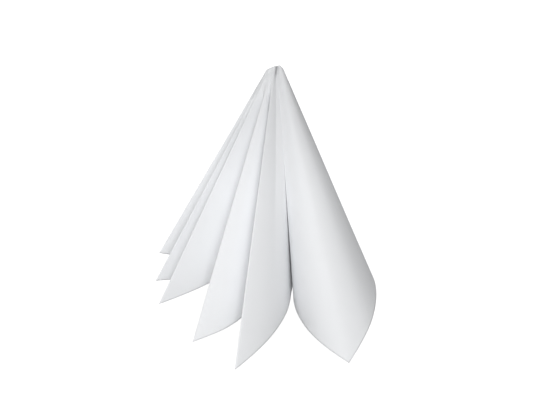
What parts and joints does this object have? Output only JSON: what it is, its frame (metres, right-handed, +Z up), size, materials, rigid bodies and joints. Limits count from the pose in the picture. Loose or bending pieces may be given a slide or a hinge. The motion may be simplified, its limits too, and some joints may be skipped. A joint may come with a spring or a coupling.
{
  "type": "paper napkin",
  "caption": "Square white paper napkin pinched at its centre and hung in loose upright pleats, standing on its lower points like a small tent.",
  "frame": {"origin": "centre of the box round the napkin, on the table it stands on", "axes": "+Z up through the pinched top, -Y towards the front where the two large open pleats face, +X to the side of the wide rounded pleat"},
  "size_m": [0.212, 0.2206, 0.2514],
  "materials": {
    "napkin": "soft matte white paper, plain, with no print"
  },
  "bodies": {
    "root": {"napkin": "napkin"}
  },
  "joints": []
}
